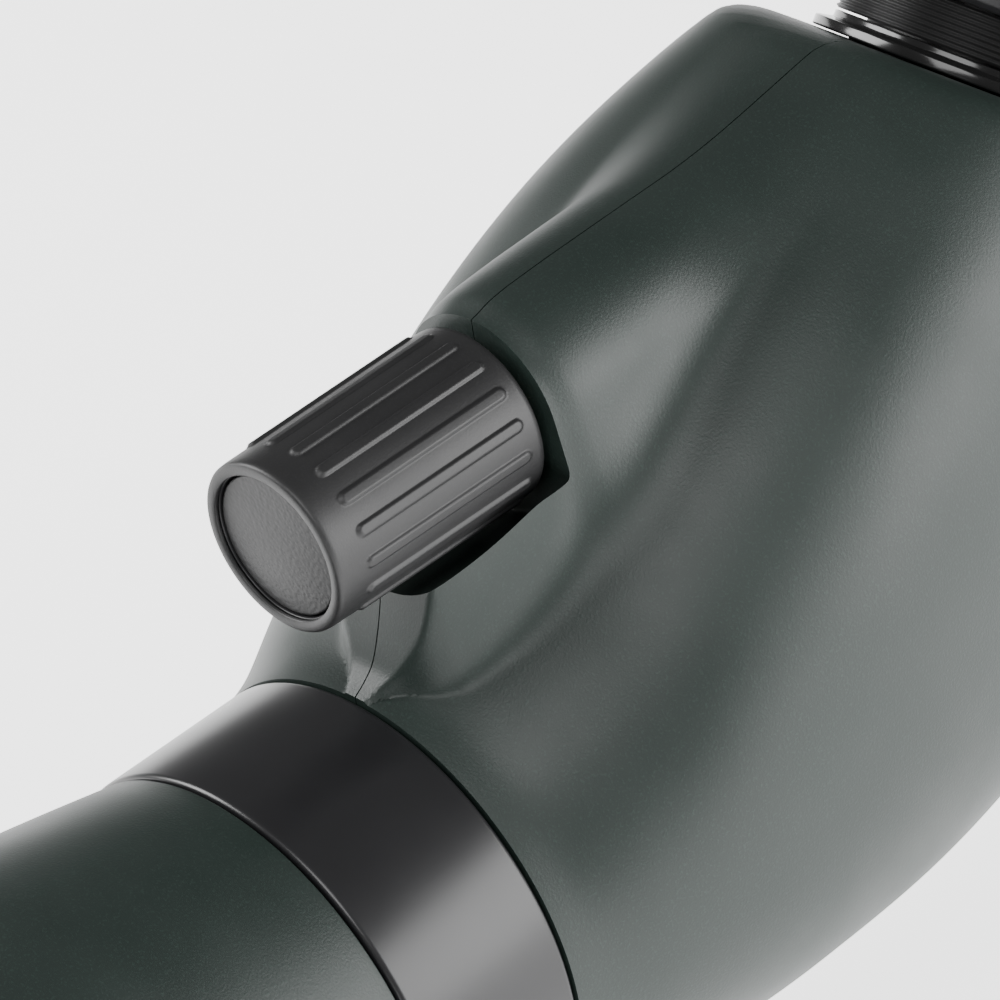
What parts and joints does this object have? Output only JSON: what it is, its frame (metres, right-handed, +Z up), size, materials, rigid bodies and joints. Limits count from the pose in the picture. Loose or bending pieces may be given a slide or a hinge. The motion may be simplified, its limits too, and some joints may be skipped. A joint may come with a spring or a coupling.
{
  "type": "angled spotting scope",
  "caption": "Angled spotting scope with a flared objective barrel, sliding sunshade, rotating tripod collar, ribbed focus knob on top and a twist-up zoom eyepiece.",
  "frame": {"origin": "centre of the tripod thread's mouth, in the flat face of the foot under the collar", "axes": "+Z up from the foot through the optical axis, +Y towards the eyepiece along the optical axis, -Y towards the objective, +X the user's left"},
  "size_m": [0.095, 0.3722, 0.1866],
  "materials": {
    "armour": "soft-touch textured dark green-grey skin",
    "anodised": "smooth satin black anodising",
    "black_metal": "matt black anodising",
    "black_plastic": "fine grain",
    "grip_rubber": "fine grain",
    "steel": "plain machined",
    "brass": "plain turned",
    "lens_glass": "polished, coated",
    "nylon": "natural"
  },
  "bodies": {
    "collar": {"collar_ring": "anodised", "foot_block": "anodised", "tripod_bushing": "brass", "foot_screw_front": "steel", "foot_screw_rear": "steel"},
    "lock_screw": {"lock_shoe": "nylon", "lock_stud": "steel", "lock_knob": "black_plastic"},
    "scope": {"body_shell_left": "armour", "body_shell_right": "armour", "shell_screw_1": "steel", "shell_screw_2": "steel", "shell_screw_3": "steel", "shell_screw_4": "steel", "objective_barrel": "armour", "main_tube": "black_metal", "barrel_baffle_rear": "black_metal", "barrel_baffle_front": "black_metal", "sunshade_friction_ring": "nylon", "objective_cell": "black_metal", "objective_crown_lens": "lens_glass", "lens_spacer": "black_metal", "objective_flint_lens": "lens_glass", "lens_retaining_ring": "black_metal", "front_bracket": "black_metal", "prism_bracket": "black_metal", "guide_rod_left": "steel", "guide_rod_right": "steel", "roof_prism": "lens_glass", "prism_clip": "steel", "shaft_bushing": "brass", "eyepiece_flange": "anodised", "camera_thread_ring": "black_metal", "eyepiece_barrel": "black_metal", "field_stop": "black_metal", "field_lens": "lens_glass", "eye_lens": "lens_glass", "eye_lens_ring": "black_metal"},
    "sunshade": {"sunshade_tube": "anodised", "sunshade_rim": "grip_rubber"},
    "focus_knob": {"knob_core": "black_plastic", "knob_grip": "grip_rubber", "knob_cap": "black_plastic", "focus_shaft": "steel", "shaft_clip": "steel"},
    "focus_slide": {"focus_carriage": "black_metal", "focus_lens": "lens_glass", "lead_nut": "brass"},
    "zoom": {"zoom_ring": "black_plastic", "zoom_grip": "grip_rubber", "zoom_cam_sleeve": "brass"},
    "zoom_group_field": {"zoom_cell_field": "black_metal", "zoom_lens_field": "lens_glass"},
    "zoom_group_eye": {"zoom_cell_eye": "black_metal", "zoom_lens_eye": "lens_glass"},
    "eyecup_lift": {"eyecup_guide": "black_metal"},
    "eyecup": {"eyecup_core": "black_plastic", "eyecup_rubber": "grip_rubber"}
  },
  "joints": [
    {"name": "collar_rotation", "type": "hinge", "parent": "collar", "child": "scope", "pos_m": [0, 0, 0.056], "axis": [0, 1, 0], "range_deg": [-90, 90]},
    {"name": "lock_screw_turn", "type": "hinge", "parent": "collar", "child": "lock_screw", "pos_m": [0, 0, 0.056], "axis": [0.8192, 0, 0.5736], "range_deg": [0, 90]},
    {"name": "sunshade_slide", "type": "slide", "parent": "scope", "child": "sunshade", "axis": [0, -1, 0], "range_m": [0, 0.038]},
    {"name": "focus_knob_turn", "type": "hinge", "parent": "scope", "child": "focus_knob", "pos_m": [0, 0.01275, 0.12105], "axis": [0, 1, 0], "range_deg": [-440, 720]},
    {"name": "focus_slide_travel", "type": "slide", "parent": "scope", "child": "focus_slide", "axis": [0, 1, 0], "range_m": [-0.005, 0.008]},
    {"name": "zoom_turn", "type": "hinge", "parent": "scope", "child": "zoom", "pos_m": [0, 0.0545, 0.02097], "axis": [0, 0.6428, 0.766], "range_deg": [0, 100]},
    {"name": "zoom_group_field_travel", "type": "slide", "parent": "scope", "child": "zoom_group_field", "axis": [0, 0.6428, 0.766], "range_m": [0, 0.01]},
    {"name": "zoom_group_eye_travel", "type": "slide", "parent": "scope", "child": "zoom_group_eye", "axis": [0, -0.6428, -0.766], "range_m": [0, 0.009]},
    {"name": "eyecup_lift_travel", "type": "slide", "parent": "scope", "child": "eyecup_lift", "axis": [0, 0.6428, 0.766], "range_m": [0, 0.008]},
    {"name": "eyecup_turn", "type": "hinge", "parent": "eyecup_lift", "child": "eyecup", "pos_m": [0, 0.0545, 0.02097], "axis": [0, 0.6428, 0.766], "range_deg": [0, 180]}
  ],
  "couplings": [
    {"joint": "focus_slide_travel", "follows": "focus_knob_turn", "m_per_rad": 0.00063582},
    {"joint": "zoom_group_field_travel", "follows": "zoom_turn", "m_per_rad": 0.0056723},
    {"joint": "zoom_group_eye_travel", "follows": "zoom_turn", "m_per_rad": 0.0050993},
    {"joint": "eyecup_lift_travel", "follows": "eyecup_turn", "m_per_rad": 0.0025146}
  ]
}
